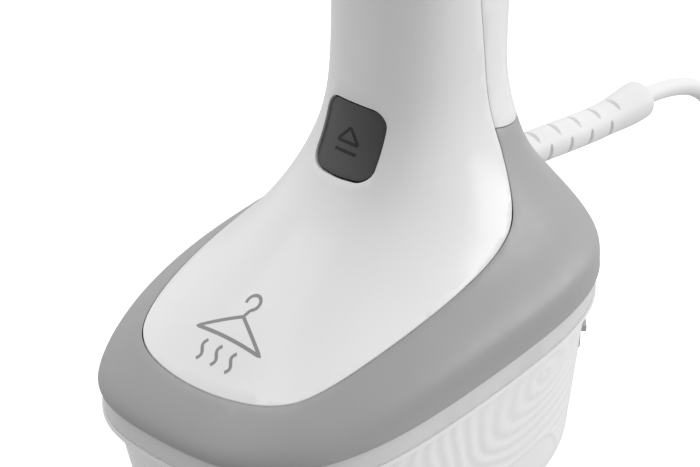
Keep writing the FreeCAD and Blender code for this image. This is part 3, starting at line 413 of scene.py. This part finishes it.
def wave_height(y, z):
    """Rings like ripples round an eye near the tank's rear, and the raised edge of a plain panel."""
    wobble = 1.1 * math.sin(0.13 * y + 0.09 * z) + 0.7 * math.sin(0.26 * z - 0.07 * y + 1.0)
    around = math.hypot(WAVE_SQUASH * (y - WAVE_EYE[0]), z - WAVE_EYE[1]) + wobble
    ripple = 0.5 - 0.5 * math.cos(2 * math.pi * around / WAVE_PITCH)
    away = from_panel(y, z)
    edge = math.exp(-(away / PANEL_LINE) ** 2)
    front, rear, foot, lip = WAVE_FADE
    fade = smooth((y - SKIN_Y[0]) / front) * smooth((SKIN_Y[1] - y) / rear)
    fade *= smooth((z - SKIN_Z[0]) / foot) * smooth((SKIN_Z[1] - z) / lip)
    return WAVE_DEEP * fade * (ripple * smooth(away / SOFT_STEP) + PANEL_RISE * edge)


def surface_of(node):
    """A tree for casting rays onto a CAD node's surface."""
    data = nodes[node].data
    corners = [vertex.co for vertex in data.vertices]
    return BVHTree.FromPolygons(corners, [tuple(face.vertices) for face in data.polygons])


def make_tank_waves(side, wall):
    """A thin skin over one flank of the tank that carries the waves."""
    columns = round((SKIN_Y[1] - SKIN_Y[0]) / SKIN_STEP) + 1
    rows = round((SKIN_Z[1] - SKIN_Z[0]) / SKIN_STEP) + 1
    outer = []
    inner = []
    for row in range(rows):
        z = SKIN_Z[0] + row * SKIN_STEP
        for column in range(columns):
            y = SKIN_Y[0] + column * SKIN_STEP
            start = Vector((side * 100 * MM, y * MM, z * MM))
            x = side * wall.ray_cast(start, Vector((-side, 0, 0)))[0].x / MM
            edge = min(y - SKIN_Y[0], SKIN_Y[1] - y, z - SKIN_Z[0], SKIN_Z[1] - z)
            lift = (SKIN_LIFT + SKIN_SUNK) * smooth(edge / SOFT_STEP) - SKIN_SUNK
            outer.append((side * (x + lift + wave_height(y, z)), y, z))
            inner.append((side * (x - SKIN_THICK), y, z))
    faces = []
    back = len(outer)
    for row in range(rows - 1):
        for column in range(columns - 1):
            a = row * columns + column
            quad = (a, a + 1, a + columns + 1, a + columns)
            faces += [quad, tuple(back + k for k in reversed(quad))]
    border = list(range(columns))
    border += [row * columns + columns - 1 for row in range(1, rows)]
    border += [(rows - 1) * columns + column for column in range(columns - 2, -1, -1)]
    border += [row * columns for row in range(rows - 2, 0, -1)]
    for first, second in zip(border, border[1:] + border[:1]):
        faces.append((second, first, back + first, back + second))
    if side < 0:
        faces = [tuple(reversed(face)) for face in faces]
    name = "tank_waves_right" if side > 0 else "tank_waves_left"
    return mesh_piece(name, outer + inner, faces, "tank_plastic", "tank")


tank_wall = surface_of("tank_shell")
for side in (1, -1):
    make_tank_waves(side, tank_wall)

# ---------------------------------------------------------------- printed mark, and the button symbol in painted shade
MARK_AT = Vector((1.0, -50.0, 200.0))      # above the middle of the mark, mm
MARK_LINE = 0.9
INK = 0.04                     # how far a line stands over its surface and reaches under it
INK_UNDER = 0.2
BUTTON_AT = Vector((0.0, -6.1, 126.25))
BUTTON_TILT = math.radians(25.4)
BUTTON_OVER = 30.0
SYMBOL_LINE = 0.9


def arc_points(centre, radius, first, last, steps):
    """Points of an arc, angles in degrees."""
    return [
        (centre[0] + radius * math.cos(math.radians(first + (last - first) * k / steps)),
         centre[1] + radius * math.sin(math.radians(first + (last - first) * k / steps)))
        for k in range(steps + 1)
    ]


def straight(first, last, steps=14):
    """Points of a straight line."""
    return [
        (first[0] + (last[0] - first[0]) * k / steps, first[1] + (last[1] - first[1]) * k / steps)
        for k in range(steps + 1)
    ]


def wisp(x, low, high, sway, steps=24):
    """An upright wave, like a wisp of steam."""
    return [
        (x + sway * math.sin(2 * math.pi * k / steps), low + (high - low) * k / steps)
        for k in range(steps + 1)
    ]


def hanger_lines():
    """A plain coat hanger with three wisps of steam below it."""
    hook = arc_points((0.0, 7.6), 2.0, 200.0, -60.0, 20) + straight((0.6, 5.4), (0.0, 3.6), 4)
    bar = straight((0.0, 3.6), (-11.0, -2.4), 16) + straight((-11.0, -2.4), (11.0, -2.4), 30)[1:]
    bar += straight((11.0, -2.4), (0.0, 3.6), 16)[1:]
    return [hook, bar] + [wisp(x, -9.6, -4.6, 0.7) for x in (-5.0, 0.0, 5.0)]


def release_lines():
    """An outlined triangle over a bar, the usual sign for releasing a part."""
    tip, left, right = (0.0, 5.3), (-3.4, 1.2), (3.4, 1.2)
    sides = ((left, tip), (tip, right), (right, left), ((-3.5, -1.3), (3.5, -1.3)))
    return [straight(first, last) for first, last in sides]


def print_or_shade_lines(name, node, lines, width, origin, right, up, ink, look, body):
    """Lines of ink, or dark lines of painted shade, laid on a node's surface, seen along the way that
    right and up are drawn.
    """
    tree = surface_of(node)
    inward = up.cross(right)
    points = []
    faces = []
    for line in lines:
        start = len(points)
        for k, here in enumerate(line):
            before = line[max(k - 1, 0)]
            after = line[min(k + 1, len(line) - 1)]
            along = Vector((after[0] - before[0], after[1] - before[1])).normalized()
            for side, lift in ((1, INK), (-1, INK), (-1, -INK_UNDER), (1, -INK_UNDER)):
                u = here[0] - along.y * side * width / 2
                v = here[1] + along.x * side * width / 2
                above = origin + right * u + up * v
                hit = tree.ray_cast(above * MM, inward)[0] / MM
                points.append(tuple(hit - inward * lift))
        for k in range(len(line) - 1):
            low = start + 4 * k
            for corner in range(4):
                ahead = (corner + 1) % 4
                faces.append((low + corner, low + ahead, low + 4 + ahead, low + 4 + corner))
        faces.append(tuple(start + corner for corner in (3, 2, 1, 0)))
        faces.append(tuple(start + 4 * (len(line) - 1) + corner for corner in (0, 1, 2, 3)))
    mark = mesh_piece(name, points, faces, look, body)
    # for the button symbol this finish is painted shade standing for its engraved grooves, not ink
    mark.data.materials.clear()
    mark.data.materials.append(ink)
    mark.data.polygons.foreach_set("use_smooth", [False] * len(mark.data.polygons))


print_or_shade_lines(
    "printed_mark", "front_cover", hanger_lines(), MARK_LINE, MARK_AT,
    Vector((1, 0, 0)), Vector((0, 1, 0)), GREY_INK, "soft_grey", "housing",
)
button_out = Vector((0.0, -math.cos(BUTTON_TILT), math.sin(BUTTON_TILT)))
# painted shade: the release button's symbol is engraved, and these dark lines stand for the shade in its
# grooves
print_or_shade_lines(
    "button_symbol_shade", "release_button", release_lines(), SYMBOL_LINE, BUTTON_AT + button_out * BUTTON_OVER,
    Vector((1, 0, 0)), Vector((0.0, math.sin(BUTTON_TILT), math.cos(BUTTON_TILT))),
    ENGRAVING_SHADE_PAINT, "button_grey", "release_button",
)

# ---------------------------------------------------------------- floor and light
FLOOR_SIZE = 6.0
FLOOR_LOW = 0.2 * MM           # clear of the tank's own floor
floor_mesh = bmesh.new()
bmesh.ops.create_grid(floor_mesh, x_segments=1, y_segments=1, size=FLOOR_SIZE)
floor_data = bpy.data.meshes.new("floor")
floor_mesh.to_mesh(floor_data)
floor_mesh.free()
floor = bpy.data.objects.new("floor", floor_data)
floor.location.z = -FLOOR_LOW
scene.collection.objects.link(floor)
floor.data.materials.append(surface("white paper", grey(0.93), 0.6, 700.0, 0.00002, 0.005,
                                    Emission_Color=(1.0, 1.0, 1.0, 1.0), Emission_Strength=0.45))
floor.visible_diffuse = False
floor.visible_glossy = False

world = bpy.data.worlds.new("studio")
world.use_nodes = True
scene.world = world
tree = world.node_tree
background = tree.nodes["Background"]
direction = tree.nodes.new("ShaderNodeTexCoord")


def towards(axis, first, last, low, high):
    """A level from low to high, as a direction's share along axis goes from first to last."""
    share = tree.nodes.new("ShaderNodeVectorMath")
    share.operation = "DOT_PRODUCT"
    share.inputs[1].default_value = axis
    ramp = tree.nodes.new("ShaderNodeMapRange")
    ramp.interpolation_type = "SMOOTHSTEP"
    ends = {"From Min": first, "From Max": last, "To Min": low, "To Max": high}
    for socket, value in ends.items():
        ramp.inputs[socket].default_value = value
    tree.links.new(direction.outputs["Generated"], share.inputs[0])
    tree.links.new(share.outputs["Value"], ramp.inputs["Value"])
    return ramp.outputs["Result"]


def product(first, second):
    """Two levels multiplied."""
    times = tree.nodes.new("ShaderNodeMath")
    times.operation = "MULTIPLY"
    tree.links.new(first, times.inputs[0])
    tree.links.new(second, times.inputs[1])
    return times.outputs["Value"]


DARK_AZIMUTH = math.radians(27.0)
dark_side = towards((math.sin(DARK_AZIMUTH), -math.cos(DARK_AZIMUTH), 0.0), 0.38, 0.94, 1.0, 0.37)
below = towards((0.0, 0.0, 1.0), -0.25, 0.25, 0.64, 1.0)
right_side = towards((0.94, 0.34, 0.0), 0.2, 0.9, 1.0, 1.16)
level = product(product(dark_side, below), right_side)
tree.links.new(level, background.inputs["Strength"])
background.inputs["Color"].default_value = (1.0, 1.0, 1.0, 1.0)


STEAMER_AT = Vector((0.0, 0.0, 0.12))


def softbox(name, place, size, watts):
    """A square soft light that looks at the steamer."""
    light = bpy.data.lights.new(name, "AREA")
    light.shape = "SQUARE"
    light.size = size
    light.energy = watts
    lamp = bpy.data.objects.new(name, light)
    lamp.location = place
    aim = STEAMER_AT - Vector(place)
    lamp.rotation_euler = aim.to_track_quat("-Z", "Y").to_euler()
    scene.collection.objects.link(lamp)


softbox("light above", (-0.5, 0.1, 1.6), 1.2, 4.5)
softbox("light behind", (0.9, 1.1, 0.35), 0.8, 6.0)
